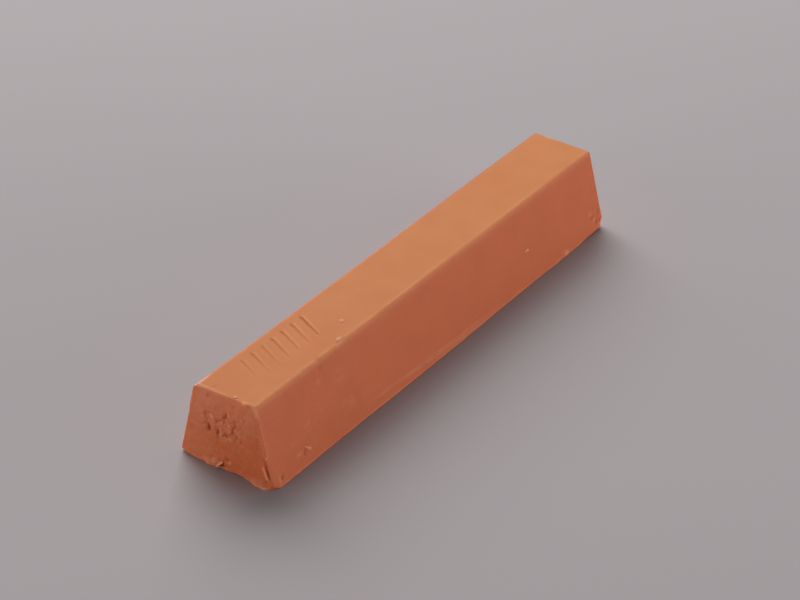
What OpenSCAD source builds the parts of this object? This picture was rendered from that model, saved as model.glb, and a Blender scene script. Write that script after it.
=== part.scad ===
// Furniture repair wax stick: a bar of hard filler wax, cast with drafted sides and cut to length.
// A sliver, a flake and crumbs of the same wax cling to it, and each is a piece of its own.
// Origin at the middle of the underside, +X from the worn end to the clean end, +Z up, millimetres.

/* [Bar] */
// Length between the two cut ends
bar_l = 80; // [50:1:160]
// Width of the underside
base_w = 15.7; // [13:0.1:24]
// Width of the top face, measured to its corners before they are rounded
top_w = 9.8; // [7:0.1:12]
// Height of the bar
bar_h = 12; // [9:0.1:20]
// Radius of the two long top edges
top_edge_r = 0.45; // [0.3:0.05:1.5]
// Radius of the two long lower edges
base_edge_r = 0.15; // [0.05:0.05:0.4]
// Radius of the rim between the top face and each cut end
rim_r = 0.25; // [0.1:0.05:0.8]

/* [Pressed strokes] */
// Number of slanted strokes pressed into the top face
stroke_count = 7; // [3:1:9]
// Length of a stroke
stroke_l = 5.4; // [3:0.1:6]
// Width of a stroke
stroke_w = 0.7; // [0.3:0.05:1]
// Depth of a stroke
stroke_depth = 0.3; // [0.1:0.05:0.6]
// Distance along the bar from one stroke to the next
stroke_pitch = 2.1; // [1.5:0.1:3]
// Lean of the strokes from straight across the bar, in degrees
stroke_lean = 24; // [0:1:35]
// Distance from the worn end to the middle of the first stroke
stroke_inset = 6.2; // [5:0.1:12]

/* [Cut ends] */
// Radius of the large pits in the crumbly middle of the worn end
pit_r = 0.55; // [0.3:0.05:0.8]
// Radius of the fine pits in both cut ends
fine_pit_r = 0.24; // [0.1:0.02:0.4]
// Number of fine pits in the worn end
worn_pit_count = 18; // [0:1:40]
// Number of fine pits in the clean end
clean_pit_count = 14; // [0:1:40]
// Radius of the curved tear in the worn end, to the middle of its groove
tear_r = 1.35; // [0.9:0.05:1.8]
// Radius of the groove of the tear
tear_groove_r = 0.36; // [0.2:0.02:0.5]
// Radius of the scoops chipped out of the lower edges
chip_r = 1.6; // [0.8:0.1:2.5]
// Height of the scoops on the face that they are chipped out of
chip_h = 0.5; // [0.2:0.05:0.7]

/* [Corner split] */
// Length of the split beside the right corner of the worn end
split_l = 4.2; // [2:0.1:6]
// Width of the split at its middle
split_w = 0.35; // [0.2:0.05:0.9]
// Depth of the split into the worn end
split_depth = 0.45; // [0.2:0.05:0.8]
// Distance from the underside to the foot of the split
split_foot = 1.0; // [0.5:0.05:2]
// Thickness of the sliver between the split and the right side
sliver_t = 0.32; // [0.2:0.02:0.6]
// Distance that the sliver stands out of the worn end
sliver_proud = 0.3; // [0.2:0.02:0.7]

/* [Clinging flake and crumbs] */
// Width of the flake on the lower edge of the worn end
flake_w = 1.8; // [1:0.1:3]
// Height of the flake
flake_h = 1.1; // [0.5:0.05:2]
// Thickness of the flake where it stands out most
flake_t = 0.4; // [0.2:0.02:0.8]
// Width of the crumb low on the right side
side_crumb_d = 1.4; // [0.6:0.05:2.5]
// Width of the crumb on the right long top edge
ridge_crumb_d = 1.1; // [0.5:0.05:2]
// Width of the crumb on the top face
top_crumb_d = 1; // [0.5:0.05:2]
// Width of the crumb on the upper rim of the worn end
rim_crumb_d = 0.8; // [0.4:0.05:1.5]
// Width of the crumb on the far half of the right side
far_crumb_d = 1; // [0.5:0.05:2]

/* [Hidden] */

// How far every cut runs past the face that it opens
overrun = 1;
// Straight steps in each rounded edge
edge_steps = 8;
rim_steps = 5;
// Segments of round cutters, and of the small spheres that a crumb is wrapped round
round_fn = 32;
crumb_fn = 16;

wax_colour = [0.72, 0.38, 0.23];
pale_wax_colour = [0.80, 0.50, 0.36];

// Lean of the two long sides from upright, in degrees
draft = atan2((base_w - top_w) / 2, bar_h);
// Height of a long side along its slope
slope_h = bar_h / cos(draft);

// Middle of the row of strokes across the top, as a share of its width
stroke_middle_share = 0.09;
// Large pits of the worn end: place across and up as shares of the top's width and the bar's height,
// then size as a share of the large pit's radius
worn_pit_shares = [
    [-0.01, 0.71, 1.00], [-0.06, 0.68, 0.75], [-0.15, 0.45, 0.70], [-0.01, 0.46, 0.80], [0.16, 0.64, 0.90],
    [0.18, 0.54, 0.70], [0.20, 0.47, 0.65], [0.29, 0.48, 0.55], [0.33, 0.75, 0.45], [-0.27, 0.79, 0.40]
];
// How far the middle of a pit stands out of the face, as a share of the pit's radius
pit_out_share = 0.35;
// Patch that the fine pits are strewn over: middle and half sizes as shares of top_w and bar_h
pit_patch_up_share = 0.6;
pit_patch_half_w_share = 0.42;
pit_patch_half_h_share = 0.27;
// Smallest fine pit as a share of the largest
fine_pit_least_share = 0.6;
worn_seed = 11;
clean_seed = 29;
// Middle of the curved tear, and the angles that it runs between
tear_across_share = -0.17;
tear_up_share = 0.58;
tear_from = 95;
tear_turn = 150;
// Chips along the lower edge of the worn end, as shares of half the underside's width
worn_chip_shares = [0.42, 0.97];
// How far the middle of a chip's scoop stands out of the face, as a share of the scoop's radius
chip_out_share = 0.5;

// Places of the clinging pieces: along the bar from the worn end, then across or up the face
flake_across_share = -0.07;
flake_lift_share = 0.055;
// Torn outline of the flake in its own width and height, and how much of it is left at its crest
flake_outline_shares = [
    [-0.50, -0.30], [-0.20, -0.50], [0.28, -0.42], [0.50, -0.10], [0.30, 0.26], [0.02, 0.50], [-0.30, 0.18]
];
flake_top_share = 0.45;
side_crumb_shares = [0.091, 0.175];
far_crumb_shares = [0.755, 0.43];
ridge_crumb_share = 0.230;
top_crumb_shares = [0.280, -0.38];
rim_crumb_share = 0.26;
// How deep the middle of a crumb lies below the face that it clings to, as a share of its width
crumb_sink_share = 0.1;

// Points of a round of radius r about c, from angle a0 to angle a1
function arc(c, r, a0, a1, steps) =
    [for (i = [0 : steps]) c + r * [cos(a0 + (a1 - a0) * i / steps), sin(a0 + (a1 - a0) * i / steps)]];

function mirrored(points) =
    [for (i = [len(points) - 1 : -1 : 0]) [-points[i][0], points[i][1]]];

// Right half of the cross-section, from the underside out and up to the top
base_round_middle = [base_w / 2 - base_edge_r * tan((90 + draft) / 2), base_edge_r];
top_round_middle = [top_w / 2 - top_edge_r * tan((90 - draft) / 2), bar_h - top_edge_r];
half_section = concat(
    arc(base_round_middle, base_edge_r, -90, draft, edge_steps),
    arc(top_round_middle, top_edge_r, draft, 90, edge_steps)
);

// Frames on the faces of the bar: X across to the right, Y up, Z out of the face
module on_worn_end() {
    translate([-bar_l / 2, 0, 0]) rotate([90, 0, -90]) children();
}

module on_clean_end() {
    translate([bar_l / 2, 0, 0]) rotate([90, 0, 90]) children();
}

// At the right corner of the worn end Y runs up the corner, and the end lies to the left of it
module on_right_corner() {
    on_worn_end() translate([base_w / 2, 0, 0]) rotate([0, 0, draft]) children();
}

// On the right side X starts at the worn end and Y at the underside, both along the face
module on_right_side() {
    translate([-bar_l / 2, -base_w / 2, 0]) rotate([90 - draft, 0, 0]) children();
}

module on_top() {
    translate([-bar_l / 2, 0, bar_h]) children();
}

// The bar before it is marked, pitted and chipped
module bar_blank() {
    rim = concat(
        arc([bar_l / 2 - rim_r, bar_h - rim_r], rim_r, 90, 0, rim_steps),
        [[bar_l / 2 + overrun, bar_h - rim_r], [bar_l / 2 + overrun, bar_h + overrun],
         [bar_l / 2 - rim_r, bar_h + overrun]]
    );
    difference() {
        rotate([90, 0, 90])
            linear_extrude(bar_l, center = true)
                polygon(concat(half_section, mirrored(half_section)));
        for (half = [0, 1])
            mirror([half, 0, 0])
                rotate([90, 0, 0])
                    linear_extrude(base_w, center = true)
                        polygon(rim);
    }
}

// One pressed stroke with round ends, lying across the bar
module stroke() {
    straight = stroke_l - stroke_w;
    translate([0, 0, -stroke_depth])
        linear_extrude(stroke_depth + overrun)
            polygon(concat(
                arc([0, straight / 2], stroke_w / 2, 0, 180, edge_steps),
                arc([0, -straight / 2], stroke_w / 2, 180, 360, edge_steps)
            ));
}

module stroke_row() {
    for (i = [0 : stroke_count - 1])
        translate([stroke_inset + i * stroke_pitch, stroke_middle_share * top_w, 0])
            rotate([0, 0, -stroke_lean])
                stroke();
}

// A round pit whose mouth is in the face
module pit(across, up, r) {
    translate([across, up, r * pit_out_share]) sphere(r, $fn = round_fn);
}

// Fine pits strewn over the middle of a cut end
module fine_pits(count, seed) {
    turns = rands(0, 360, count, seed);
    reaches = rands(0, 1, count, seed + 1);
    sizes = rands(fine_pit_least_share, 1, count, seed + 2);
    for (i = [0 : 1 : count - 1])
        pit(
            sqrt(reaches[i]) * cos(turns[i]) * pit_patch_half_w_share * top_w,
            (pit_patch_up_share + sqrt(reaches[i]) * sin(turns[i]) * pit_patch_half_h_share) * bar_h,
            sizes[i] * fine_pit_r
        );
}

module large_pits() {
    for (p = worn_pit_shares)
        pit(p[0] * top_w, p[1] * bar_h, p[2] * pit_r);
}

// The curved tear beside the pits
module tear() {
    translate([tear_across_share * top_w, tear_up_share * bar_h, 0])
        rotate([0, 0, tear_from])
            rotate_extrude(angle = tear_turn, $fn = round_fn)
                translate([tear_r, 0]) circle(tear_groove_r, $fn = round_fn);
}

// A scoop chipped out of the lower edge of a cut end
module chip(across) {
    out = chip_out_share * chip_r;
    drop = sqrt(chip_r * chip_r - out * out) - chip_h;
    translate([across, -drop, out]) sphere(chip_r, $fn = round_fn);
}

// The split behind the sliver: a slit with pointed ends beside the right corner
module corner_split() {
    edge = [for (i = [0 : edge_steps]) [-split_w * sin(180 * i / edge_steps), split_l * i / edge_steps]];
    translate([-sliver_t, split_foot, -split_depth])
        linear_extrude(split_depth + overrun)
            polygon(edge);
}

module wax_bar() {
    color(wax_colour)
        difference() {
            bar_blank();
            on_top() stroke_row();
            on_worn_end() {
                large_pits();
                fine_pits(worn_pit_count, worn_seed);
                tear();
                for (share = worn_chip_shares)
                    chip(share * base_w / 2);
            }
            on_clean_end() {
                fine_pits(clean_pit_count, clean_seed);
                chip(-base_w / 2);
            }
            on_right_corner() corner_split();
        }
}

// The sliver left standing between the split and the right side, bowed out of the end
module corner_sliver() {
    bow = [for (i = [0 : edge_steps]) [split_l * i / edge_steps, sliver_proud * sin(180 * i / edge_steps)]];
    color(pale_wax_colour)
        on_right_corner()
            translate([-sliver_t, split_foot, 0])
                rotate([90, 0, 90])
                    linear_extrude(sliver_t)
                        polygon(bow);
}

// Flake pushed out of the lower edge of the worn end, with thin torn edges
module base_edge_flake() {
    color(pale_wax_colour)
        on_worn_end()
            translate([flake_across_share * base_w, flake_lift_share * bar_h, 0])
                linear_extrude(flake_t, scale = flake_top_share)
                    polygon([for (p = flake_outline_shares) [p[0] * flake_w, p[1] * flake_h]]);
}

// A crumb of wax: small balls wrapped together, wide at the seat, each given by its middle and radius
module crumb(d) {
    ball_shares = [
        [-0.28, 0.02, 0.02, 0.22], [0.24, 0.16, 0.00, 0.24],
        [0.10, -0.26, 0.04, 0.20], [0.02, 0.04, 0.22, 0.18]
    ];
    hull()
        for (b = ball_shares)
            translate([b[0], b[1], b[2]] * d) sphere(b[3] * d, $fn = crumb_fn);
}

// A crumb seated on the bar: what would lie inside the bar is cut away
module clinging() {
    color(pale_wax_colour)
        difference() {
            children();
            bar_blank();
        }
}

module side_crumb() {
    clinging()
        on_right_side()
            translate([side_crumb_shares[0] * bar_l, side_crumb_shares[1] * slope_h, 0])
                crumb(side_crumb_d);
}

module far_side_crumb() {
    clinging()
        on_right_side()
            translate([far_crumb_shares[0] * bar_l, far_crumb_shares[1] * slope_h, 0])
                crumb(far_crumb_d);
}

module top_crumb() {
    clinging()
        on_top()
            translate([top_crumb_shares[0] * bar_l, top_crumb_shares[1] * top_w / 2, 0])
                crumb(top_crumb_d);
}

module ridge_crumb() {
    clinging()
        on_top()
            translate([ridge_crumb_share * bar_l, top_edge_r - top_w / 2, -crumb_sink_share * ridge_crumb_d])
                crumb(ridge_crumb_d);
}

module end_rim_crumb() {
    clinging()
        on_top()
            translate([rim_r, -rim_crumb_share * top_w / 2, -crumb_sink_share * rim_crumb_d])
                crumb(rim_crumb_d);
}

wax_bar();
corner_sliver();
base_edge_flake();
side_crumb();
ridge_crumb();
top_crumb();
end_rim_crumb();
far_side_crumb();
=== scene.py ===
import math

import bmesh
import bpy
import numpy as np
from bpy.props import FloatProperty, FloatVectorProperty, IntProperty, PointerProperty
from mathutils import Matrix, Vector, noise


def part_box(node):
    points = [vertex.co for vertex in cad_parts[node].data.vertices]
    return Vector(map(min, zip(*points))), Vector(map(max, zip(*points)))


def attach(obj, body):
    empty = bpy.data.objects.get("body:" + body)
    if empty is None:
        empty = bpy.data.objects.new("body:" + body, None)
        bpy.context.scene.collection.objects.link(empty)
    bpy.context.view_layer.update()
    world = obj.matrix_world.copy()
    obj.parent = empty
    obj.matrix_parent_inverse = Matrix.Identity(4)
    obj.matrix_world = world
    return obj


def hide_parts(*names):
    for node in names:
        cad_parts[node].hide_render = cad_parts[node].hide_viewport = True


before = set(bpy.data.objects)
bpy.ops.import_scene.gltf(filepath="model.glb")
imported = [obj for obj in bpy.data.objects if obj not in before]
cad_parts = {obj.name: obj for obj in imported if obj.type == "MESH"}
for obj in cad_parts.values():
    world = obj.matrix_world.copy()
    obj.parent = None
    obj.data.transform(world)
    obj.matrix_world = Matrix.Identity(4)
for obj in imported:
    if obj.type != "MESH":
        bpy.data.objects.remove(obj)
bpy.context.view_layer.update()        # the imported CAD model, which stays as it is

bl_info = {
    "name": "Furniture Repair Wax Stick",
    "version": (1, 0, 0),
    "blender": (4, 5, 0),
    "location": "3D View > Sidebar > Wax Stick",
    "description": "Builds a cast bar of filler wax with pressed strokes, crumbly ends and clinging scraps",
    "category": "Object",
}

BAR_LOW, BAR_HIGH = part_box("wax_bar")
BODY = "root"
MM = 0.001


class WaxBarSettings(bpy.types.PropertyGroup):
    """Sizes and colours of the cast bar"""

    length: FloatProperty(
        name="Length", description="Distance between the two cut ends",
        default=BAR_HIGH.x - BAR_LOW.x, unit="LENGTH")
    height: FloatProperty(
        name="Height", description="Height of the bar above the surface it lies on",
        default=BAR_HIGH.z, unit="LENGTH")
    base_width: FloatProperty(
        name="Base width", description="Width of the underside to its sharp corners",
        default=15.7 * MM, unit="LENGTH")
    top_width: FloatProperty(
        name="Top width", description="Width of the top face to its sharp corners",
        default=9.8 * MM, unit="LENGTH")
    top_edge: FloatProperty(
        name="Top edge radius", description="Radius of the two long top edges",
        default=0.45 * MM, unit="LENGTH")
    base_edge: FloatProperty(
        name="Lower edge radius", description="Radius of the two long lower edges",
        default=0.15 * MM, unit="LENGTH")
    rim: FloatProperty(
        name="End rim radius", description="Radius between the top face and each cut end",
        default=0.25 * MM, unit="LENGTH")
    side_colour: FloatVectorProperty(
        name="Side colour", description="Colour of the wax on the sides and the cut ends",
        default=(0.53, 0.104, 0.021), size=3, min=0, max=1, subtype="COLOR")
    # The top colour is lighter and yellower than the side colour: painted light and sheen on the face that
    # looks up
    lit_top_colour: FloatVectorProperty(
        name="Top colour", description="Colour of the wax on the top face, under a thin bloom",
        default=(0.61, 0.188, 0.030), size=3, min=0, max=1, subtype="COLOR")
    # The scraped colour is also used for painted highlights and sheen, and for painted light on the cut ends
    pale_colour: FloatVectorProperty(
        name="Scraped colour", description="Colour of the wax where it is scraped or torn thin",
        default=(0.85, 0.360, 0.200), size=3, min=0, max=1, subtype="COLOR")
    # The pit colour is painted shade: pits, splits, dents and stroke grooves are darkened towards it
    pit_shade_colour: FloatVectorProperty(
        name="Pit colour", description="Colour of the wax deep in pits and splits",
        default=(0.30, 0.050, 0.014), size=3, min=0, max=1, subtype="COLOR")


class StrokeSettings(bpy.types.PropertyGroup):
    """The row of slanted strokes pressed into the top face"""

    count: IntProperty(
        name="Strokes", description="Number of strokes in the row", default=7, min=0, max=12)
    length: FloatProperty(
        name="Length", description="Length of a stroke", default=5.4 * MM, unit="LENGTH")
    width: FloatProperty(
        name="Width", description="Width of a stroke", default=0.7 * MM, unit="LENGTH")
    depth: FloatProperty(
        name="Depth", description="Depth of a stroke at its head", default=0.3 * MM, unit="LENGTH")
    pitch: FloatProperty(
        name="Pitch", description="Distance from one stroke to the next", default=2.1 * MM, unit="LENGTH")
    inset: FloatProperty(
        name="Inset", description="Distance from the worn end to the first stroke",
        default=6.2 * MM, unit="LENGTH")
    lean: FloatProperty(
        name="Lean", description="Lean of the strokes from straight across the bar",
        default=math.radians(24), subtype="ANGLE")
    middle: FloatProperty(
        name="Middle", description="Distance of the row's middle to the left of the bar's middle",
        default=0.86 * MM, unit="LENGTH")


class StageSettings(bpy.types.PropertyGroup):
    """Floor, light and camera"""

    floor_colour: FloatVectorProperty(
        name="Floor colour", description="Colour of the plain floor",
        default=(0.430, 0.394, 0.402), size=3, min=0, max=1, subtype="COLOR")
    sky: FloatProperty(
        name="Sky", description="Strength of the even light from all round", default=0.15, min=0)
    window: FloatProperty(
        name="Window", description="Power of the large soft lamp behind and to the left, in watts",
        default=11.2, min=0)
    card: FloatProperty(
        name="Card", description="Power of the low soft lamp that fills the right side, in watts",
        default=1.82, min=0)
    front: FloatProperty(
        name="Front", description="Power of the low soft lamp that fills the worn end, in watts",
        default=1.25, min=0)
    lens: FloatProperty(
        name="Lens", description="Focal length of the camera in millimetres", default=109.9, min=1)


def smooth(low, high, value):
    """Goes from 0 at low to 1 at high without a kink, either way round."""
    share = np.clip((value - low) / (high - low), 0, 1)
    return share * share * (3 - 2 * share)


def bump_at(distance, reach):
    """A rounded bump: 1 at no distance, falling to nothing past about twice its reach."""
    return np.exp(-(distance / reach) ** 2)


# How far the noise moves on from one seed to the next, and how its finer lumps fade and shrink
SEED_STEP = np.array((7.31, 3.97, 5.53))
LUMP_FADE = 1.0
LUMP_SHRINK = 2.0


def torn_noise(place, octaves):
    """Noise from about -1 to 1 at one place, with finer lumps on the coarse ones."""
    return noise.fractal(place, LUMP_FADE, LUMP_SHRINK, octaves)


def lumps(points, size, seed, octaves=1):
    """Noise from about -1 to 1 at each point, with lumps of one size in the points' own unit."""
    places = (points / size + seed * SEED_STEP).tolist()
    if octaves == 1:
        return np.array([noise.noise(place) for place in places])
    return np.array([torn_noise(place, octaves) for place in places])


def graded(stops, counts):
    """Shares from the first stop to the last, with a count of even steps between each two stops."""
    runs = [np.linspace(a, b, n, endpoint=False) for a, b, n in zip(stops, stops[1:], counts)]
    return np.concatenate(runs + [[stops[-1]]])


def arc(middle, radius, start, end, steps=12):
    """Points of a round in the section's plane, between two angles in degrees."""
    turn = np.radians(np.linspace(start, end, steps + 1))
    return np.array(middle) + radius * np.stack((np.cos(turn), np.sin(turn)), axis=1)


def along(line, shares):
    """Points at shares of a line's own length."""
    steps = np.linalg.norm(np.diff(line, axis=0), axis=1)
    reach = np.concatenate(([0], np.cumsum(steps))) / steps.sum()
    return np.stack([np.interp(shares, reach, line[:, axis]) for axis in (0, 1)], axis=1)


def quads(grid):
    """The four corners of each square in a grid of numbers or places."""
    return np.stack((grid[:-1, :-1], grid[1:, :-1], grid[1:, 1:], grid[:-1, 1:]), axis=2)


class BarSize:
    """The bar's half length, half widths, height and radii in millimetres, and the draft of its sides."""

    def __init__(self, bar):
        self.half = bar.length / MM / 2
        self.base = bar.base_width / MM / 2
        self.top = bar.top_width / MM / 2
        self.height = bar.height / MM
        self.top_edge = bar.top_edge / MM
        self.base_edge = bar.base_edge / MM
        self.rim = bar.rim / MM
        self.slope = (self.base - self.top) / self.height
        self.draft = math.atan(self.slope)


# Shares of the top and the underside, from left to right, at which the bar's mesh has its columns, and
# shares of a side at which it has its rows: closest over the rounded edges, the split corner, the
# strokes and the crumbly middle of the ends
COLUMNS = graded((0, 0.05, 0.20, 0.80, 0.92, 1), (5, 7, 62, 7, 11))
ROWS = graded((0, 0.011, 0.11, 0.36, 0.79, 0.95, 1), (3, 10, 12, 42, 8, 5))
# Distances from the worn end, as shares of the length, between which the mesh has its stations
STATIONS = graded((0.008, 0.05, 0.065, 0.27, 0.60, 0.85, 0.90, 0.95, 0.992), (18, 6, 130, 20, 14, 8, 6, 12))
RIM_STEPS = 5
# Radius of the rims at the foot, half way up and at the top, as shares of their full one, and how much
# of it they lose on the left
RIM_SHARES = (0.25, 0.45, 1)
RIM_LOSS = 0.6
# How much larger the ends are in the map than the rest, how far apart they lie, in half widths of the
# bar, and the gap round them
END_MAP_SCALE = 2
END_MAP_STEP = 4.4
END_MAP_GAP = 1


def section_edges(size):
    """The four edges of the bar's section in millimetres, as lines from corner to corner.

    They run under the bar to the right, up its right side, back over the top and down its left side.
    """
    draft = math.degrees(size.draft)
    base_r, top_r = size.base_edge, size.top_edge
    base_middle = (size.base - base_r * math.tan(math.radians((90 + draft) / 2)), base_r)
    top_middle = (size.top - top_r * math.tan(math.radians((90 - draft) / 2)), size.height - top_r)
    base_turn, top_turn = (draft - 90) / 2, (draft + 90) / 2
    under = arc(base_middle, base_r, -90, base_turn)
    lower, upper = arc(base_middle, base_r, base_turn, draft), arc(top_middle, top_r, draft, top_turn)
    side = np.concatenate((lower, upper))
    over = arc(top_middle, top_r, top_turn, 90)
    flip = np.array((-1, 1))
    bottom = np.concatenate((under[::-1] * flip, under))
    top = np.concatenate((over, over[::-1] * flip))
    return bottom, side, top, side[::-1] * flip


def bar_rings(size, loop):
    """Where along the bar each ring of its skin lies, and how far the rings over the rims are drawn in."""
    rim = np.interp(loop[:, 1], (0, size.height / 2, size.height), RIM_SHARES) * size.rim
    rim *= 1 - RIM_LOSS * smooth(0.5, -1.0, loop[:, 0])
    straight = np.zeros(len(loop))
    worn_rim = []
    for turn in np.linspace(math.pi / 2, 0, RIM_STEPS + 1):
        worn_rim.append((rim * (1 - math.sin(turn)) - size.half, rim * (1 - math.cos(turn))))
    stations = [(straight + (2 * share - 1) * size.half, straight) for share in STATIONS]
    clean_rim = [(-x, inset) for x, inset in worn_rim[::-1]]
    return worn_rim + stations + clean_rim


def smooth_bar(size):
    """Points, faces and map of the bar before it is worn, in millimetres.

    A rounded section runs along the bar in stations and shrinks over the rims. A grid closes each end.
    """
    shares = (COLUMNS, ROWS, 1 - COLUMNS[::-1], 1 - ROWS[::-1])
    loop = np.concatenate([along(line, at)[:-1] for line, at in zip(section_edges(size), shares)])
    ahead, behind = np.roll(loop, -1, axis=0), np.roll(loop, 1, axis=0)
    tangent = ahead - behind
    inward = np.stack((-tangent[:, 1], tangent[:, 0]), axis=1)
    inward /= np.linalg.norm(inward, axis=1)[:, None]
    rings = bar_rings(size, loop)
    tube = []
    for x, inset in rings:
        ring = loop + inward * inset[:, None]
        tube.append(np.stack((x, -ring[:, 0], ring[:, 1]), axis=1))
    points = np.concatenate(tube)
    count, around = len(rings), len(loop)
    number = np.arange(count)[:, None] * around + np.arange(around + 1) % around
    round_the_bar = np.concatenate(([0], np.cumsum(np.linalg.norm(ahead - loop, axis=1))))
    from_worn_end = np.array([np.median(x) for x, _ in rings]) + size.half
    flat = np.stack(np.meshgrid(from_worn_end, round_the_bar, indexing="ij"), axis=2)
    faces, maps = [quads(number).reshape(-1, 4)], [quads(flat).reshape(-1, 4, 2)]
    for end, ring in enumerate((0, count - 1)):
        cap_points, cap_faces, cap_map = end_grid(tube[ring], ring * around, len(points))
        points = np.concatenate((points, cap_points))
        place = (END_MAP_GAP + end * END_MAP_STEP * size.base, round_the_bar[-1] + 2 * END_MAP_GAP)
        way = -1 if end else 1
        faces.append(cap_faces[:, ::way])
        maps.append((cap_map * END_MAP_SCALE + place)[:, ::way])
    flat = np.concatenate(maps)
    return points, np.concatenate(faces), flat / flat.max()


def end_grid(ring, first, start):
    """The grid that closes an end: its inner points, its faces and their map. The ring is its rim."""
    columns, rows = len(COLUMNS) - 1, len(ROWS) - 1
    index = np.zeros((columns + 1, rows + 1), int)
    index[:, 0] = np.arange(columns + 1)
    index[columns, :] = columns + np.arange(rows + 1)
    index[:, rows] = columns + rows + np.arange(columns, -1, -1)
    index[0, 1:] = 2 * columns + rows + (rows - np.arange(1, rows + 1))
    rim = ring[index % len(ring)]
    u, v = COLUMNS[:, None, None], ROWS[None, :, None]
    patch = (1 - v) * rim[:, :1] + v * rim[:, -1:] + (1 - u) * rim[:1] + u * rim[-1:]
    patch -= (1 - v) * ((1 - u) * rim[0, 0] + u * rim[-1, 0]) + v * ((1 - u) * rim[0, -1] + u * rim[-1, -1])
    number = first + index % len(ring)
    number[1:-1, 1:-1] = start + np.arange((columns - 1) * (rows - 1)).reshape(columns - 1, rows - 1)
    flat = np.stack((patch[..., 1].max() - patch[..., 1], patch[..., 2]), axis=2)
    return patch[1:-1, 1:-1].reshape(-1, 3), quads(number).reshape(-1, 4), quads(flat).reshape(-1, 4, 2)


# How much painted top light the top has at the worn end, where it is painted darker as the light falls off,
# and how deep a cut is before its wax is fully pale, in millimetres
LEAST_TOP_LIGHT = 0.84
PALE_CUT = 0.06


class Skin:
    """The bar's points in millimetres, how far each is raised, how pale it looks, and how much painted shade
    and painted top light it has.
    """

    def __init__(self, points, normals):
        self.points = points
        self.normals = normals
        self.lift = np.zeros(len(points))
        self.pale = np.zeros(len(points))
        self.hollow = np.zeros(len(points))
        along_bar = (points[:, 0] - points[:, 0].min()) / np.ptp(points[:, 0])
        # Painted top light: faces that look up take the lit top colour, less towards the worn end, as painted
        # light that falls off along the bar
        self.bloom = smooth(0.40, 0.90, normals[:, 2]) * (LEAST_TOP_LIGHT + (1 - LEAST_TOP_LIGHT) * along_bar)

    def facing(self, x, y, z, start=0.55, full=0.95):
        """How far each point faces a direction, from 0 to 1."""
        direction = np.array((x, y, z), float)
        return smooth(start, full, self.normals @ (direction / np.linalg.norm(direction)))

    def lumps(self, size, seed, octaves=1):
        """Noise from about -1 to 1 at each point."""
        return lumps(self.points, size, seed, octaves)

    def mark(self, mask, rise=0.0, pale=0.0, hollow=0.0):
        """Raises the points of a mask, and gives them at least so much paleness and so much painted shade."""
        self.lift += rise * mask
        self.pale = np.maximum(self.pale, pale * mask)
        self.hollow = np.maximum(self.hollow, hollow * mask)

    def raise_all(self):
        """Moves each point out along its normal by what it is raised."""
        self.points = self.points + self.normals * self.lift[:, None]
        self.lift[:] = 0

    def shave(self, origin, outward, depth, pale=0.0):
        """Planes away what stands past a plane that lies a depth in from a point."""
        outward = np.array(outward, float) / np.linalg.norm(outward)
        beyond = np.maximum((self.points - np.array(origin)) @ outward + depth, 0)
        self.points = self.points - outward * beyond[:, None]
        self.mark(smooth(0, PALE_CUT, beyond), pale=pale)


# The palest that dust and painted light make a cut end, and how steeply the wax of a rounded top edge
# leans where its painted sheen and scuffing are strongest
MOST_DUST_AND_LIGHT = 0.30
EDGE_LEAN = 0.72


def swell(skin):
    """Slow unevenness of the casting, and a finer one on the cut ends. The underside only goes in. Painted
    light makes the cut ends paler towards their top and left, and painted sheen the rounded top edges.
    """
    _, left, up = skin.points.T
    under = skin.facing(0, 0, -1)
    ends = skin.facing(-1, 0, 0) + skin.facing(1, 0, 0)
    skin.lift += (1 - under) * (0.030 * skin.lumps(size=9, seed=1) + 0.010 * skin.lumps(size=2.5, seed=2))
    coarse, fine = skin.lumps(size=1.6, seed=3, octaves=3), skin.lumps(size=0.45, seed=4, octaves=3)
    skin.lift += ends * (0.06 * coarse + 0.045 * fine)
    skin.lift += under * (0.05 * skin.lumps(size=3.0, seed=5, octaves=2) - 0.05)
    # Painted light: the cut ends are paler towards the top and the left, with random dust over it
    dust_and_light = 0.20 * smooth(5, 11, up) + 0.13 * smooth(-1, 6, left)
    dust_and_light += 0.10 * skin.lumps(size=0.9, seed=6, octaves=3)
    skin.mark(ends * np.clip(dust_and_light, 0, MOST_DUST_AND_LIGHT), pale=1)
    # Painted sheen and scuffing: the rounded top edges are paler where they lean
    skin.mark(bump_at(skin.normals[:, 2] - EDGE_LEAN, 0.22) * (1 - ends), pale=0.15)


# How hard the first stroke is pressed, how much harder the last one is, and the gain from foot to head
FIRST_FORCE = 0.28
FORCE_GAIN = 0.34
HEAD_GAIN = 0.4
# Shares of a stroke's width: its near slope, where its far wall starts, how long the wall is, and how far
# its lips stand from its middle
NEAR_SLOPE = 0.75
WALL_START = 0.44
WALL_LENGTH = 0.19
LIP_OUT = 0.72
SLOPE_CURVE = 1.7


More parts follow.
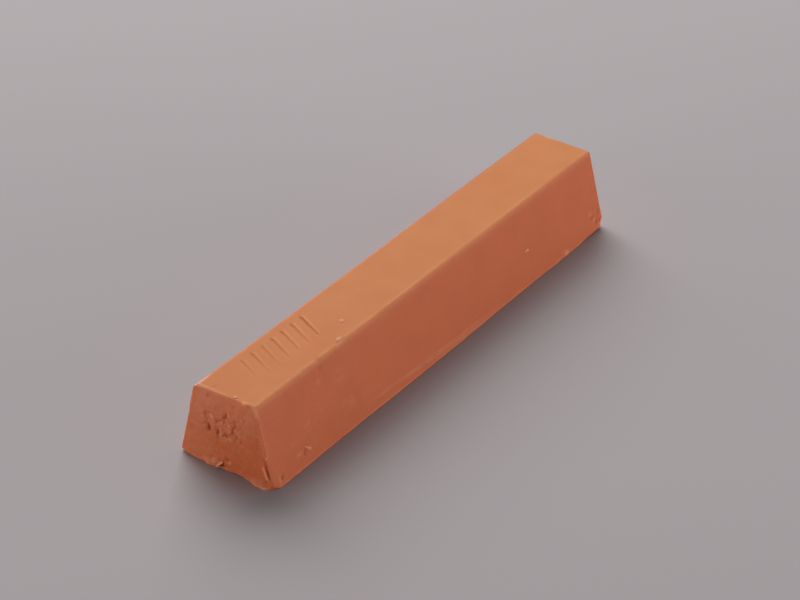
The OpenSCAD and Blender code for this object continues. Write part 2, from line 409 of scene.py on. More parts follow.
def press_strokes(skin, bar, strokes):
    """The row of slanted strokes, faint at first and crisp at last.

    Each has a long near slope, a steep far wall and a low lip of wax pushed up past it. Its lips are painted
    pale as a painted highlight, the far one most, and its groove has painted shade.
    """
    on_top = skin.facing(0, 0, 1)
    width, length = strokes.width / MM, strokes.length / MM
    lean = np.array((math.sin(strokes.lean), math.cos(strokes.lean)))
    aside = np.array((lean[1], -lean[0]))
    ragged = 0.05 * skin.lumps(size=0.6, seed=8, octaves=2)
    for number in range(strokes.count):
        start = (strokes.inset + number * strokes.pitch - bar.length / 2) / MM
        away = skin.points[:, :2] - (start, strokes.middle / MM)
        up, across = away @ lean, away @ aside + ragged
        force = FIRST_FORCE + FORCE_GAIN * number / max(strokes.count - 1, 1)
        force *= 0.88 + 0.12 * math.sin(2.4 * number)
        strength = np.clip(force + HEAD_GAIN * (up / length), 0.05, 1)
        strength = on_top * strength * smooth(length / 2, length / 2 - 0.5, abs(up))
        near_slope = np.clip((across + width / 2) / (NEAR_SLOPE * width), 0, 1) ** SLOPE_CURVE
        far_wall = np.clip((width * WALL_START - across) / (WALL_LENGTH * width), 0, 1)
        groove = np.minimum(near_slope, far_wall)
        far_lip, near_lip = bump_at(across - LIP_OUT * width, 0.20), bump_at(across + LIP_OUT * width, 0.18)
        skin.lift += strength * (0.09 * far_lip + 0.02 * near_lip - strokes.depth / MM * groove)
        # Painted highlight: the lips, the far one most, are painted pale
        skin.mark(strength * (0.42 * far_lip + 0.09 * near_lip), pale=1)
        # Painted shade along the groove's floor
        skin.mark(strength * smooth(0.6, 1.0, groove), hollow=0.26)


# Tears and pits of the worn end: how deep each is, and a run of places left of the middle, up, and half
# as wide, all in millimetres
WORN_PITS = (
    (0.11, (3.22, 7.85, 0.18), (3.20, 7.20, 0.22), (3.12, 6.60, 0.20)),
    (0.30, (3.02, 6.30, 0.18), (2.84, 5.92, 0.26), (2.92, 5.35, 0.16)),
    (0.12, (3.95, 6.00, 0.18), (3.22, 6.15, 0.18)),
    (0.09, (2.92, 8.05, 0.16), (2.60, 8.32, 0.18), (2.20, 8.44, 0.14)),
    (0.09, (2.50, 9.08, 0.18), (2.38, 9.12, 0.18)),
    (0.20, (-0.16, 9.08, 0.13), (0.10, 8.66, 0.22), (0.30, 8.22, 0.15)),
    (0.14, (0.25, 8.15, 0.18), (0.27, 7.66, 0.16)),
    (0.16, (0.42, 8.14, 0.15), (0.98, 7.64, 0.16), (1.56, 7.24, 0.12)),
    (0.09, (-0.16, 9.40, 0.14), (-0.15, 9.12, 0.16)),
    (0.28, (1.44, 5.78, 0.14), (1.38, 5.34, 0.24)),
    (0.12, (1.40, 5.10, 0.18), (1.46, 4.60, 0.14)),
    (0.27, (0.16, 5.92, 0.16), (0.12, 5.55, 0.25)),
    (0.12, (0.60, 5.24, 0.16), (-0.40, 5.62, 0.16)),
    (0.15, (-1.53, 8.28, 0.14), (-1.55, 7.90, 0.17), (-1.43, 7.50, 0.15)),
    (0.19, (-1.23, 7.35, 0.15), (-1.14, 6.92, 0.18), (-1.15, 6.12, 0.15)),
    (0.09, (-0.97, 7.80, 0.15), (-1.03, 7.35, 0.16)),
    (0.14, (-1.76, 6.23, 0.18), (-1.78, 5.95, 0.20)),
    (0.09, (-1.47, 5.35, 0.17), (-1.47, 5.25, 0.17)),
    (0.08, (-1.95, 5.85, 0.17), (-2.02, 5.75, 0.17)),
    (0.08, (-2.50, 6.00, 0.16), (-2.53, 5.20, 0.18)),
    (0.07, (-3.14, 9.12, 0.20), (-3.14, 9.02, 0.20)),
    (0.10, (2.67, 11.20, 0.12), (2.68, 10.75, 0.14)),
    (0.09, (4.60, 6.30, 0.15), (4.40, 5.80, 0.18)),
    (0.10, (-5.10, 7.30, 0.10), (-5.14, 6.60, 0.13), (-5.15, 5.60, 0.10)),
    (0.22, (0.12, 1.72, 0.16), (-0.20, 1.70, 0.20)),
    (0.30, (1.20, 0.34, 0.20), (0.74, 0.55, 0.26)),
    (0.10, (3.45, 0.62, 0.12), (2.60, 1.12, 0.15), (1.72, 1.45, 0.13)),
)
# Grains that stand up between them: left of the middle, up, radius and height
WORN_GRAINS = (
    (2.20, 7.88, 0.48, 0.19), (3.98, 7.28, 0.27, 0.16), (-0.56, 7.46, 0.26, 0.20), (0.60, 7.52, 0.24, 0.16),
    (0.88, 5.55, 0.24, 0.16), (-0.73, 5.30, 0.26, 0.17), (-2.08, 7.00, 0.26, 0.12), (-0.60, 9.20, 0.26, 0.18),
    (-0.13, 8.16, 0.20, 0.11), (1.18, 6.80, 0.45, 0.09), (-2.64, 9.12, 0.26, 0.15), (3.40, 0.60, 0.45, 0.12),
    (-0.40, 1.42, 0.35, 0.12), (2.30, 0.70, 0.60, 0.12),
)
# The same for the clean end, where the casting is less open
CLEAN_PITS = (
    (0.20, (1.30, 8.05, 0.18), (0.85, 7.75, 0.28)),
    (0.24, (-0.30, 7.25, 0.16), (-0.80, 6.95, 0.30), (-1.15, 6.60, 0.14)),
    (0.20, (0.32, 6.45, 0.14), (0.28, 5.80, 0.24)),
    (0.15, (-1.75, 8.30, 0.14), (-1.65, 7.80, 0.20)),
    (0.12, (2.10, 6.60, 0.22), (1.85, 6.35, 0.14)),
    (0.14, (-1.10, 5.50, 0.14), (-1.50, 5.30, 0.22)),
    (0.12, (-0.05, 8.85, 0.12), (-0.35, 8.55, 0.22)),
    (0.10, (2.90, 4.10, 0.12), (1.90, 3.80, 0.14), (1.10, 3.90, 0.10)),
)
CLEAN_GRAINS = ((0.25, 7.35, 0.50, 0.12), (-0.40, 5.90, 0.45, 0.10), (1.10, 6.70, 0.40, 0.10))


def run_gap(across, up, run):
    """Distance from a run of places, as a share of the run's half width there."""
    gap = np.full(len(across), 9.0)
    for (left_a, up_a, half_a), (left_b, up_b, half_b) in zip(run, run[1:]):
        step = np.array((left_b - left_a, up_b - up_a))
        share = np.clip(((across - left_a) * step[0] + (up - up_a) * step[1]) / (step @ step), 0, 1)
        reach = np.hypot(across - left_a - share * step[0], up - up_a - share * step[1])
        gap = np.minimum(gap, reach / (half_a + share * (half_b - half_a)))
    return gap


# How high the crumbly middle of an end lies, half its width and half its height, and how deep a pit is
# before its painted shade is full, in millimetres
CRUMBLE_UP = 6.9
CRUMBLE_REACH = (3.7, 2.6)
DARK_DEPTH = 0.30
# How far a grain stands and how pale it is, as shares of its height in the lists
GRAIN_RISE = 0.6
GRAIN_PALE = 3.2


def crumble_end(skin, side, pits, grains):
    """Pits, grains and torn texture in the middle of a cut end.

    The side is -1 at the worn end and 1 at the clean one.
    """
    facing = skin.facing(side, 0, 0)
    across = skin.points[:, 1] + 0.08 * skin.lumps(size=0.55, seed=15 + side, octaves=2)
    up = skin.points[:, 2] + 0.08 * skin.lumps(size=0.55, seed=17 + side, octaves=2)
    ragged = skin.lumps(size=0.32, seed=11 + side, octaves=3)
    from_middle = np.hypot(across / CRUMBLE_REACH[0], (up - CRUMBLE_UP) / CRUMBLE_REACH[1])
    patch = smooth(1.3, 0.5, from_middle + 0.25 * ragged) * facing
    coarse, fine = skin.lumps(size=0.75, seed=13, octaves=3), skin.lumps(size=0.28, seed=14, octaves=2)
    skin.lift += patch * (0.08 * coarse + 0.06 * fine)
    skin.mark(patch * np.clip(0.12 + 0.16 * coarse + 0.16 * fine, 0, 0.35), pale=1)
    for left, height, radius, rise in grains:
        grain = facing * bump_at(np.hypot(across - left, up - height), radius)
        skin.mark(grain, rise=GRAIN_RISE * rise, pale=GRAIN_PALE * rise)
    dig = np.zeros(len(across))
    for depth, *run in pits:
        gap = run_gap(across, up, run)
        dig = np.maximum(dig, depth * smooth(1.7, 0.1, gap + ragged * smooth(3.0, 0.8, gap)))
    dig += patch * 0.06 * smooth(0.25, 0.7, -fine)
    skin.lift -= facing * dig
    # Painted shade in the pits, fullest where they are deepest
    skin.mark(facing * np.clip(dig / DARK_DEPTH, 0, 1), hollow=1)


# The split beside the right corner of the worn end, and the strip of wax that it leaves along the corner,
# in millimetres. The split is widest and closest to the corner at its foot.
SPLIT_FOOT = 2.0
SPLIT_TIP = 4.9
SPLIT_WIDTH = 0.40
SPLIT_DEPTH = 0.45
SPLIT_FROM_SIDE = 0.37
SPLIT_DRIFT = 0.094
SLIVER_WIDTH = 0.30
# How wide the split is at shares of its height, as shares of its width
SPLIT_HEIGHTS = (-0.12, 0, 0.3, 0.9, 1.0)
SPLIT_OPENINGS = (0.10, 1.0, 0.72, 0.34, 0.06)
# How far the torn lip stands to the left of the split's middle, and how broad it is
LIP_ASIDE = 0.48
LIP_BREADTH = 0.28


def split_corner(skin, size):
    """The split beside the right corner of the worn end, behind the standing sliver, and its torn lip."""
    up = skin.points[:, 2]
    from_side = (size.base - size.slope * up + skin.points[:, 1]) * math.cos(size.draft)
    share = (up - SPLIT_FOOT) / (SPLIT_TIP - SPLIT_FOOT)
    opening = SPLIT_WIDTH * np.interp(share, SPLIT_HEIGHTS, SPLIT_OPENINGS)
    wander = 0.04 * skin.lumps(size=0.5, seed=22, octaves=2)
    middle = SPLIT_FROM_SIDE + SPLIT_DRIFT * (up - SPLIT_FOOT) + wander
    gap = abs(from_side - middle) / np.maximum(opening / 2, 0.02)
    on_end = skin.facing(-1, 0, 0, 0.5, 0.8)
    split = on_end * smooth(1.35, 0.3, gap) * smooth(-0.14, -0.04, share) * smooth(1.0, 0.9, share)
    skin.lift -= SPLIT_DEPTH * split * np.clip(1.1 - 0.85 * share, 0, 1)
    # Painted shade in the split
    skin.mark(split * np.clip(0.75 - 0.6 * share, 0, 1), hollow=1)
    lip = on_end * bump_at(from_side - middle - LIP_ASIDE, LIP_BREADTH)
    skin.mark(lip * smooth(-0.32, -0.12, share) * smooth(0.52, 0.32, share), rise=0.14, pale=0.70)


# Small dents of the right side: distance from the bar's middle, height up the slope, radius and depth
RIGHT_DENTS = (
    (-26.7, 11.00, 0.50, 0.09), (-26.8, 9.85, 0.30, 0.04), (-28.6, 10.20, 0.45, 0.04),
    (-24.0, 8.3, 0.5, 0.03), (-38.18, 1.10, 0.28, 0.24), (-33.10, 2.15, 0.22, 0.16),
    (-33.13, 1.70, 0.22, 0.17), (18.5, 10.6, 0.35, 0.05), (29.95, 1.05, 0.25, 0.12),
    (37.6, 2.4, 0.34, 0.19), (38.5, 1.5, 0.32, 0.22), (39.2, 2.7, 0.34, 0.19),
    (38.1, 3.6, 0.30, 0.13), (39.3, 1.3, 0.26, 0.18),
)
# Soft scuffs of the right side: distance from the bar's middle, height up the slope, length, height and
# paleness
RIGHT_SCUFFS = (
    (-23.6, 8.3, 1.3, 1.0, 0.12), (-31.1, 5.35, 1.0, 0.7, 0.15), (-30.2, 5.4, 3.0, 0.35, 0.12),
    (-22.7, 4.0, 1.3, 0.8, 0.20), (-34.2, 4.0, 1.4, 1.0, 0.08), (-18.5, 3.4, 1.8, 0.6, 0.12),
    (-27.5, 6.6, 1.4, 0.8, 0.09), (-27.6, 9.6, 0.5, 0.4, 0.17), (-34.0, 2.35, 0.6, 0.22, 0.42),
    (-38.55, 1.15, 0.24, 0.5, 0.38), (29.7, 0.45, 0.5, 0.35, 0.60), (38.0, 1.9, 0.35, 0.35, 0.44),
    (39.0, 0.9, 0.35, 0.30, 0.44), (38.8, 3.3, 0.40, 0.35, 0.36), (37.2, 3.2, 0.40, 0.35, 0.28),
)
# The same for the left side
LEFT_DENTS = (
    (-31.0, 9.6, 0.40, 0.06), (-12.4, 3.1, 0.30, 0.10), (6.8, 8.9, 0.45, 0.05), (21.3, 1.9, 0.28, 0.12),
    (34.6, 6.2, 0.40, 0.06), (-37.9, 2.0, 0.28, 0.12), (38.7, 1.6, 0.30, 0.14),
)
LEFT_SCUFFS = (
    (-34.8, 4.6, 1.6, 0.8, 0.14), (-26.0, 7.4, 2.4, 0.5, 0.12), (-12.9, 2.7, 0.7, 0.3, 0.36),
    (-3.0, 5.0, 2.0, 0.9, 0.12), (8.0, 2.2, 1.6, 0.6, 0.14), (21.0, 1.3, 0.6, 0.4, 0.36),
    (27.5, 8.0, 1.8, 0.7, 0.12), (38.2, 2.4, 0.5, 0.5, 0.38), (-38.4, 1.2, 0.4, 0.5, 0.36),
)
# The two steps of the ledge trimmed on the right side: where along the bar each starts, how high up the
# slope, how that changes along the bar, and how far the step stands out
LEDGES = ((-15.7, 1.62, -0.032, 0.09), (-9.0, 1.13, -0.040, 0.05))
# A lump low on the right side: distance from the bar's middle, height up the slope, and radius
LOW_LUMP = (29.75, 0.42, 0.5)
# How much painted shade a dent has for its depth, and the paleness at which a scuff starts to stand up
DENT_SHADE = 3.4
SCUFF_FLAT = 0.20


def mark_sides(skin, size):
    """A low lip along the lower edges, a trimmed ledge, dents with painted shade and scuffs on the sides."""
    x, up = skin.points[:, 0], skin.points[:, 2] / math.cos(size.draft)
    right, left = skin.facing(0, -1, 0.25), skin.facing(0, 1, 0.25)
    wave = lumps(skin.points * (1, 1, 0), size=1.6, seed=41, octaves=3)
    for direction in ((0, -1, 0), (0, 1, 0), (-1, 0, 0)):
        lip = skin.facing(*direction, 0.3, 0.8) * smooth(0.40, 0.04, up)
        skin.lift += 0.05 * lip * (0.7 + 0.5 * wave)
        skin.mark(lip * (0.30 + 0.20 * wave), pale=1)
    for start, level, fall, drop in LEDGES:
        line = level + fall * (x - start)
        ledge = smooth(start - 4, start, x) * smooth(14, 4, x) * right
        skin.mark(ledge * smooth(line + 0.08, line - 0.08, up), rise=drop)
        skin.mark(ledge * bump_at(up - line, 0.10) * (0.6 + 0.6 * wave), pale=0.23)
    speckle = smooth(-0.35, 0.45, lumps(skin.points * (0.4, 1, 1), size=0.7, seed=43, octaves=3))
    for facing, dents, scuffs in ((right, RIGHT_DENTS, RIGHT_SCUFFS), (left, LEFT_DENTS, LEFT_SCUFFS)):
        for at, height, radius, depth in dents:
            dent = facing * bump_at(np.hypot(x - at, up - height), radius)
            # Each dent gets painted shade for its depth
            skin.mark(dent, rise=-depth, hollow=DENT_SHADE * depth)
        for at, height, reach, tall, pale in scuffs:
            scuff = facing * bump_at(np.hypot((x - at) / reach, (up - height) / tall), 1) * speckle
            skin.mark(scuff, rise=0.15 * max(pale - SCUFF_FLAT, 0), pale=pale)
    at, height, radius = LOW_LUMP
    skin.mark(right * bump_at(np.hypot(x - at, up - height), radius), rise=0.18, pale=0.55)


# Radius of the worn end's right corner in millimetres at shares of the height, and the turns in degrees
# from the corner's own direction at which it is planed
CORNER_HEIGHTS = (0, 0.40, 0.48, 0.74, 0.84, 1)
CORNER_RADII = (0.06, 0.08, 0.16, 0.18, 0.65, 0.90)
CORNER_TURNS = (-25, 0, 25)


def round_corner(skin, size):
    """Wears the right corner of the worn end round, most at its top, and paints its upper part pale as a
    painted highlight.
    """
    up = skin.points[:, 2] / size.height
    radius = np.interp(up, CORNER_HEIGHTS, CORNER_RADII)
    radius *= 1 + 0.25 * lumps(skin.points * (0, 0, 1), size=1.2, seed=39, octaves=2)
    for turn in CORNER_TURNS:
        lean = math.radians(45 + turn)
        aside = math.sin(lean)
        outward = (-math.cos(lean), -aside * math.cos(size.draft), aside * math.sin(size.draft))
        depth = radius * (math.sqrt(2) * math.cos(math.radians(turn)) - 1)
        # Painted highlight: the upper part of the planed corner is painted pale
        skin.shave((-size.half, -size.base, 0), outward, depth, pale=0.72 * smooth(0.76, 0.95, up))


# Chips of the bar's corners: the end, side and level of each, the way that it faces, how deep it is, how
# uneven, the size and seed of its lumps, and how pale it is
CORNER_CHIPS = (
    ((-1, -1, 0), (-0.45, -0.62, -0.64), 0.60, 0.10, 0.5, 34, 0.27),
    ((1, -1, 0), (0.8, -0.6, -0.6), 0.80, 0.14, 0.6, 35, 0.3),
    ((1, 1, 0), (0.8, 0.6, -0.6), 0.30, 0.0, 0.6, 35, 0.3),
    ((-1, 1, 0), (-0.60, 0.55, -0.58), 0.36, 0.08, 0.5, 38, 0.23),
    ((-1, 1, 1), (-0.8, 0.6, 0.8), 0.17, 0.06, 0.4, 30, 0.95),
)


def chip_corners(skin, size):
    """Breaks a chip off each worn corner of the bar."""
    for (end, side, level), outward, depth, uneven, lump, seed, pale in CORNER_CHIPS:
        corner = (end * size.half, side * (size.top if level else size.base), level * size.height)
        skin.shave(corner, outward, depth + uneven * skin.lumps(lump, seed), pale)


# Places across the foot of the worn end, from right to left, and how far the foot stands out at each, or
# is chipped back if less than nothing, in millimetres
FOOT_LINE = (
    (-7.9, -0.20), (-6.8, -0.10), (-6.4, 0.36), (-5.8, 0.46), (-5.0, 0.40), (-3.9, 0.17), (-3.2, 0.0),
    (-2.5, -0.20), (-1.8, -0.28), (-0.2, -0.06), (1.1, -0.08), (1.7, 0.03), (2.3, 0.16), (3.0, 0.28),
    (3.6, 0.14), (4.3, 0.06), (5.7, 0.0), (7.2, -0.16),
)
# Where the lump on the upper rim of the worn end and the burr at its foot lie, left of the middle
RIM_LUMP_LEFT = -3.25
FOOT_BURR_LEFT = -6.35
# How far in from its sharp corner the right top edge starts to slope away, in millimetres, and how
# steeply it slopes there and at its outer end
RIDGE_INSET = 0.72
RIDGE_LEAN = math.radians(13)
RIDGE_STEEP = math.radians(63)
# Nicks of the right top edge, as distances from the bar's middle and reaches, and how deep it is worn
RIDGE_NICKS = ((-21.6, 1.0), (-26.6, 0.6))
RIDGE_WEAR = 0.08
# Where the smear on the right top edge comes in and fades out along the bar
SMEAR_START = (-23.6, -22.6)
SMEAR_END = (-20.0, -20.8)
# The speck pit in the top: how far it is from the worn end and left of the middle, and its radius
SPECK_PIT = (0.84, 2.32, 0.18)


def foot_stand(left):
    """How far the foot of the worn end stands out at places across it."""
    return np.interp(left, *zip(*FOOT_LINE))


def wear_edges(skin, size):
    """Chips and nicks along the edges of the raised skin."""
    half, base, top, height = size.half, size.base, size.top, size.height
    x, y = skin.points[:, 0], skin.points[:, 1]
    across, lengthways = skin.points * (0, 1, 0), skin.points * (1, 0, 0)
    round_corner(skin, size)
    stand = foot_stand(y)
    chips = 0.03 * lumps(across, size=0.7, seed=31, octaves=3) + np.where(stand < 0, -0.76, -0.5) * stand
    skin.shave((-half, 0, 0), (-0.35, 0, -0.94), chips, pale=0.25)
    rim = (0.09 + 0.07 * lumps(across, size=1.3, seed=32, octaves=3)) * smooth(1.2, -0.8, y)
    rim += 0.10 * smooth(-2.3, -2.7, y)
    rim -= 0.40 * bump_at(y - RIM_LUMP_LEFT, 0.42)
    skin.shave((-half, 0, height), (-1, 0, 1), rim, pale=0.10 + 0.50 * smooth(-0.6, 0.6, y))
    clean_rim = 0.10 + 0.06 * lumps(across, size=1.6, seed=33, octaves=2)
    skin.shave((half, 0, height), (1, 0, 1), clean_rim, pale=0.3)
    chip_corners(skin, size)
    for side in (-1, 1):
        edge = 0.09 + 0.05 * lumps(lengthways + side, size=2.4, seed=36, octaves=3)
        foot = 0.04 * lumps(lengthways + side, size=1.8, seed=37, octaves=3)
        if side < 0:
            edge += RIDGE_WEAR * (1 + sum(bump_at(x - at, reach) for at, reach in RIDGE_NICKS))
            for lean in (RIDGE_LEAN, RIDGE_STEEP):
                outward = (0, -math.sin(lean), math.cos(lean))
                skin.shave((0, -top, height), outward, edge - 0.075, pale=0.17)
            foot += 0.08 * bump_at(x - 12.0, 0.8) + 0.20 * smooth(32, 37, x)
        else:
            edge += 0.18 * smooth(30, -10, x)
        skin.shave((0, side * top, height), (0, side * 0.62, 0.79), edge, pale=0.17)
        skin.shave((0, side * base, 0.04), (0, side * 0.25, -0.97), foot)
    skin.points[:, 2] = np.maximum(skin.points[:, 2], 0)


def smear_edges(skin, size, rag):
    """Wax smeared along the rim and the corners of the worn end and along both top edges, a dull band with
    painted shade along the left top edge, painted sheen and scuffing along the right one, a painted highlight
    at the top of the right corner, and a speck pit with painted shade.
    """
    half, top, height = size.half, size.top, size.height
    x, y, z = skin.points.T
    from_lump = (skin.points - (-half + 0.1, RIM_LUMP_LEFT, height - 0.1)) / (0.34, 0.50, 0.34)
    skin.mark(bump_at(np.linalg.norm(from_lump, axis=1), 1), rise=0.15, pale=0.50)
    rim_smear = smooth(0.62 + 0.25 * rag, 0.22, np.hypot(x + half, z - height)) * smooth(-1.6, 0.6, y)
    skin.mark(rim_smear * (0.42 + 0.40 * smooth(2.5, 5, y)), pale=1)
    from_left_edge = np.hypot(y - top + 0.2, z - height)
    left_smear = smooth(0.65 + 0.3 * rag, 0.2, from_left_edge) * smooth(4.5, 1.0, x + half)
    skin.mark(left_smear, pale=0.85)
    # A dull band along the left top edge: paler, and with painted shade
    dull = bump_at(from_left_edge, 0.45) * smooth(1.0, 4.5, x + half)
    skin.mark(dull, pale=0.45, hollow=0.48)
    from_right_edge = np.hypot(y + top - 0.13, z - height + 0.10)
    # Painted sheen and scuffing along the right top edge
    scuff_and_sheen = 0.33 * bump_at(from_right_edge, 0.42) + 0.06 * bump_at(from_right_edge, 1.1)
    skin.mark(scuff_and_sheen * (0.9 + 0.3 * rag), pale=1)
    right_smear = bump_at(from_right_edge, 0.40) * smooth(*SMEAR_START, x) * smooth(*SMEAR_END, x)
    skin.mark(right_smear * (0.8 + 0.4 * rag), pale=0.58)
    # A speck pit with painted shade
    ahead, left, radius = SPECK_PIT
    from_pit = np.linalg.norm(skin.points - (-half + ahead, left, height), axis=1)
    skin.mark(bump_at(from_pit, radius), rise=-0.07, hollow=0.30)
    from_left_corner = np.hypot(x + half, y - size.base + size.slope * z)
    skin.mark(bump_at(from_left_corner, 0.45) * smooth(7.0, 9.0, z), rise=0.12, pale=0.35)
    from_right_corner = np.hypot(x + half, y + size.base - size.slope * z)
    skin.mark(bump_at(from_right_corner, 0.70) * smooth(3.8, 5.5, z), pale=0.17)
    # Painted highlight at the top of the worn end's right corner
    from_top_corner = np.linalg.norm(skin.points - (-half + 0.3, -top + 0.4, height), axis=1)
    skin.mark(bump_at(from_top_corner, 0.95) * (0.9 + 0.4 * rag), pale=0.26)


def flare_foot(skin, rag):
    """The flared foot of the worn end, with flecks along it, a burr and a dip above the burr with painted
    shade.
    """
    _, y, z = skin.points.T
    on_end = skin.facing(-1, 0, 0, 0.3, 0.7)
    flare = on_end * np.maximum(foot_stand(y), 0) * smooth(0.85, 0.10, z)
    skin.lift += flare * (1 + 0.2 * rag)
    skin.mark(flare, pale=0.9)
    flecks = on_end * smooth(0.42, 0.10, z) * smooth(-0.15, 0.45, rag) * smooth(-5.6, -4.6, y)
    skin.mark(flecks, rise=0.05, pale=0.42)
    from_burr = y - FOOT_BURR_LEFT
    skin.mark(on_end * bump_at(np.hypot(from_burr / 0.55, (z - 0.12) / 0.22), 1), rise=0.10, pale=0.75)
    # Painted shade in the dip above the burr
    skin.mark(on_end * bump_at(np.hypot(from_burr / 0.30, (z - 0.85) / 0.26), 1), rise=-0.16, hollow=0.45)


def new_piece(name, points, faces, material, node):
    """A smooth-shaded mesh, given in millimetres, that rides on the bar's body and stands for a CAD node."""
    mesh = bpy.data.meshes.new(name)
    mesh.from_pydata((np.asarray(points) * MM).tolist(), [], [list(face) for face in faces])
    mesh.polygons.foreach_set("use_smooth", np.ones(len(mesh.polygons), bool))
    mesh.materials.append(material)
    mesh.update()
    piece = bpy.data.objects.new(name, mesh)
    bpy.context.scene.collection.objects.link(piece)
    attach(piece, BODY)
    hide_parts(node)
    return piece


def store(mesh, name, values):
    """Keeps a value for each point of a mesh, for its material to read."""
    layer = mesh.attributes.new(name, "FLOAT", "POINT")
    layer.data.foreach_set("value", np.asarray(values, np.float32))


WELD_REACH = 0.001 * MM


def weld(mesh):
    """Joins points of a mesh that lie in one place, and turns its faces outward."""
    shape = bmesh.new()
    shape.from_mesh(mesh)
    bmesh.ops.remove_doubles(shape, verts=shape.verts, dist=WELD_REACH)
    bmesh.ops.recalc_face_normals(shape, faces=shape.faces)
    shape.to_mesh(mesh)
    shape.free()
    mesh.update()


def tube_faces(steps, ring):
    """Faces of a tube of rings, each of so many points, and of its two closed ends."""
    grid = np.arange(steps + 1)[:, None] * ring + np.arange(ring + 1) % ring
    faces = quads(grid)[:, :, (0, 3, 2, 1)].reshape(-1, 4).tolist()
    return faces + [list(range(ring))[::-1], list(range(steps * ring, (steps + 1) * ring))]


def node_box(node):
    """The low and high corners of a CAD node in millimetres."""
    return [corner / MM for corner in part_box(node)]


class Wire:
    """An output socket of a material. Arithmetic on it adds Math nodes, and add() adds any other node."""

    def __init__(self, tree, socket=None):
        self.tree = tree
        self.socket = socket

    def add(self, kind, settings=None, sockets=None, output=0):
        """Adds a node, sets its settings and then its sockets, and gives one of its outputs."""
        node = self.tree.nodes.new(kind)
        for name, value in (settings or {}).items():
            setattr(node, name, value)
        for name, value in (sockets or {}).items():
            if isinstance(value, Wire):
                self.tree.links.new(value.socket, node.inputs[name])
            else:
                node.inputs[name].default_value = value
        return Wire(self.tree, node.outputs[output]) if len(node.outputs) else node

    def math(self, operation, first, second=0.0):
        """A Math node on two values."""
        return self.add("ShaderNodeMath", {"operation": operation}, {0: first, 1: second})

    def __add__(self, other):
        return self.math("ADD", self, other)

    __radd__ = __add__

    def __sub__(self, other):
        return self.math("SUBTRACT", self, other)

    def __rsub__(self, other):
        return self.math("SUBTRACT", other, self)

    def __mul__(self, other):
        return self.math("MULTIPLY", self, other)

    __rmul__ = __mul__

    def between(self, low, high):
        """0 below low, 1 above high and smooth between them."""
        return self.add("ShaderNodeMapRange", {"interpolation_type": "SMOOTHSTEP"},
                        {"Value": self, "From Min": low, "From Max": high})

    def blend(self, first, second):
        """A colour mixed from two by this wire, from 0 to 1."""
        return self.add("ShaderNodeMix", {"data_type": "RGBA"}, {0: self, 6: first, 7: second}, 2)


def rgba(colour, scale=1.0):
    """A colour for a socket, made lighter or darker by a scale."""
    return (*[min(1.0, channel * scale) for channel in colour], 1.0)


def cloud(sheet, place, size, detail=2.0, roughness=0.5):
    """Noise from 0 to 1 with lumps of about one size in metres."""
    return sheet.add("ShaderNodeTexNoise", {"noise_dimensions": "3D"},
                     {"Vector": place, "Scale": 1 / size, "Detail": detail, "Roughness": roughness})


def blank_material(name):
    """A material without nodes, and the wire that adds them."""
    material = bpy.data.materials.new(name)
    material.use_nodes = True
    material.node_tree.nodes.clear()
    return material, Wire(material.node_tree)


# Sizes of the wax's mottle, its grain, its finest grain and its drawn streaks, and what the streaks' places
# are multiplied by, so that they run along the bar
MOTTLE_SIZE = 5.5 * MM
GRAIN_SIZE = 0.35 * MM
FINE_SIZE = 0.09 * MM
STREAK_SIZE = 0.30 * MM
STREAK_DRAW = (0.06, 1.0, 1.0)
# How dark the mottle is beside the side colour, the wax's index of refraction, and how light spreads in it
MOTTLE_SHADE = 0.86
WAX_IOR = 1.44
SPREAD_WEIGHT = 0.2
SPREAD_COLOUR = (1.0, 0.35, 0.18)
SPREAD_REACH = 1.2 * MM
RELIEF_STRENGTH = 0.35
RELIEF_HEIGHT = 0.05 * MM
# How pale and dull each kind of scrap is beside the bar; the flake's paleness is partly torn wax and partly
# painted light that lifts it where it lies in shade
CRUMB_WORN = 0.42
SLIVER_WORN = 0.06
FLAKE_WORN_AND_LIT = 0.64


